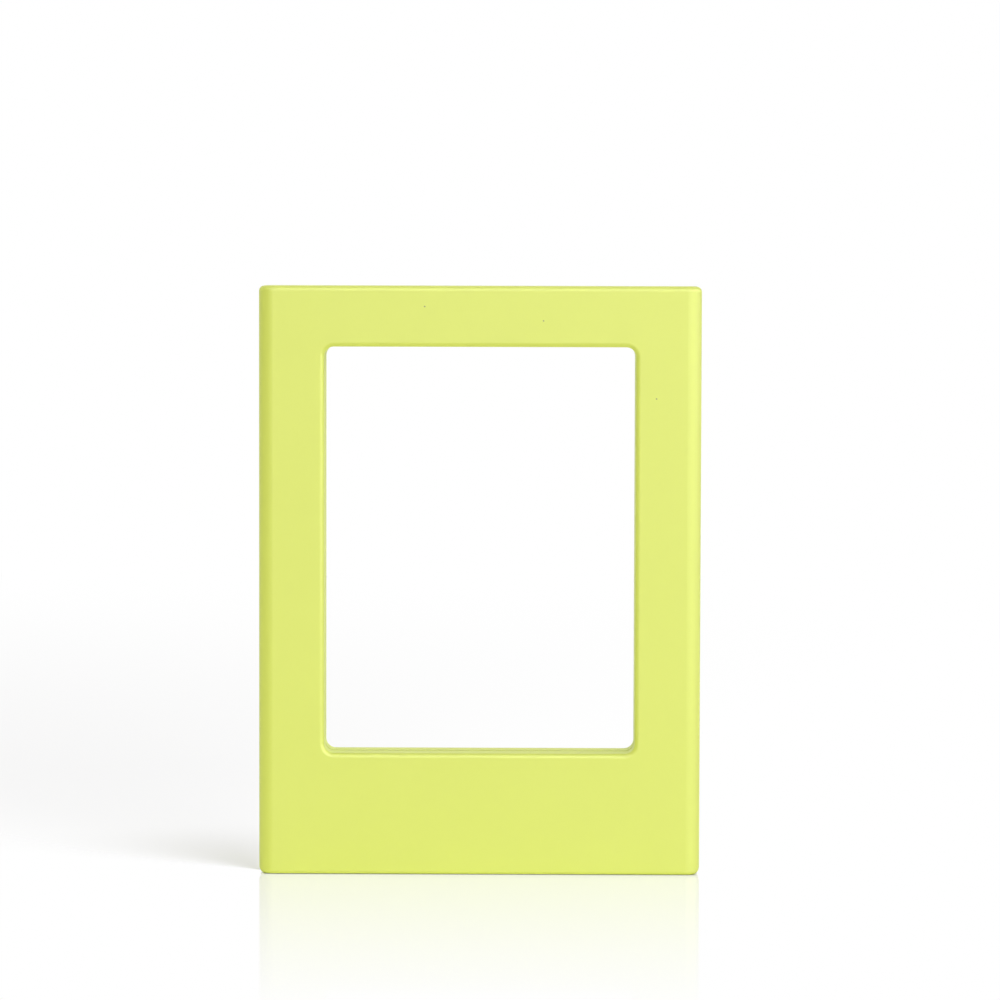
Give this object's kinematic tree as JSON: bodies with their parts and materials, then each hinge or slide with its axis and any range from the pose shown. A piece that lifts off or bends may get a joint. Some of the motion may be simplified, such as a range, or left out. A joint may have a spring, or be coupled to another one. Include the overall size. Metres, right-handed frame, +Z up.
{
  "type": "magnetic photo frame",
  "caption": "Upright photo frame moulded in lime-green plastic: hollow halves held together by magnets clamp an instant-film print behind an open window.",
  "frame": {"origin": "middle of the base, on the surface that the frame stands on and on the plane where the halves meet", "axes": "+Z up the frame, +X to the right as seen from the front, +Y from the front face to the back face"},
  "size_m": [0.068, 0.009, 0.0906],
  "materials": {
    "lime_shell": "satin moulded ABS",
    "lime_liner": "matt moulded ABS",
    "magnet_nickel": "nickel plate"
  },
  "bodies": {
    "front_half": {"front_shell": "lime_shell", "front_liner": "lime_liner", "front_magnet_left_lower": "magnet_nickel", "front_magnet_left_middle": "magnet_nickel", "front_magnet_left_upper": "magnet_nickel", "front_magnet_right_lower": "magnet_nickel", "front_magnet_right_middle": "magnet_nickel", "front_magnet_right_upper": "magnet_nickel"},
    "back_half": {"back_shell": "lime_shell", "back_liner": "lime_liner", "back_magnet_left_lower": "magnet_nickel", "back_magnet_left_middle": "magnet_nickel", "back_magnet_left_upper": "magnet_nickel", "back_magnet_right_lower": "magnet_nickel", "back_magnet_right_middle": "magnet_nickel", "back_magnet_right_upper": "magnet_nickel"}
  },
  "joints": [
    {"name": "back_pull", "type": "slide", "parent": "front_half", "child": "back_half", "axis": [0, 1, 0], "range_m": [0, 0.03]}
  ]
}
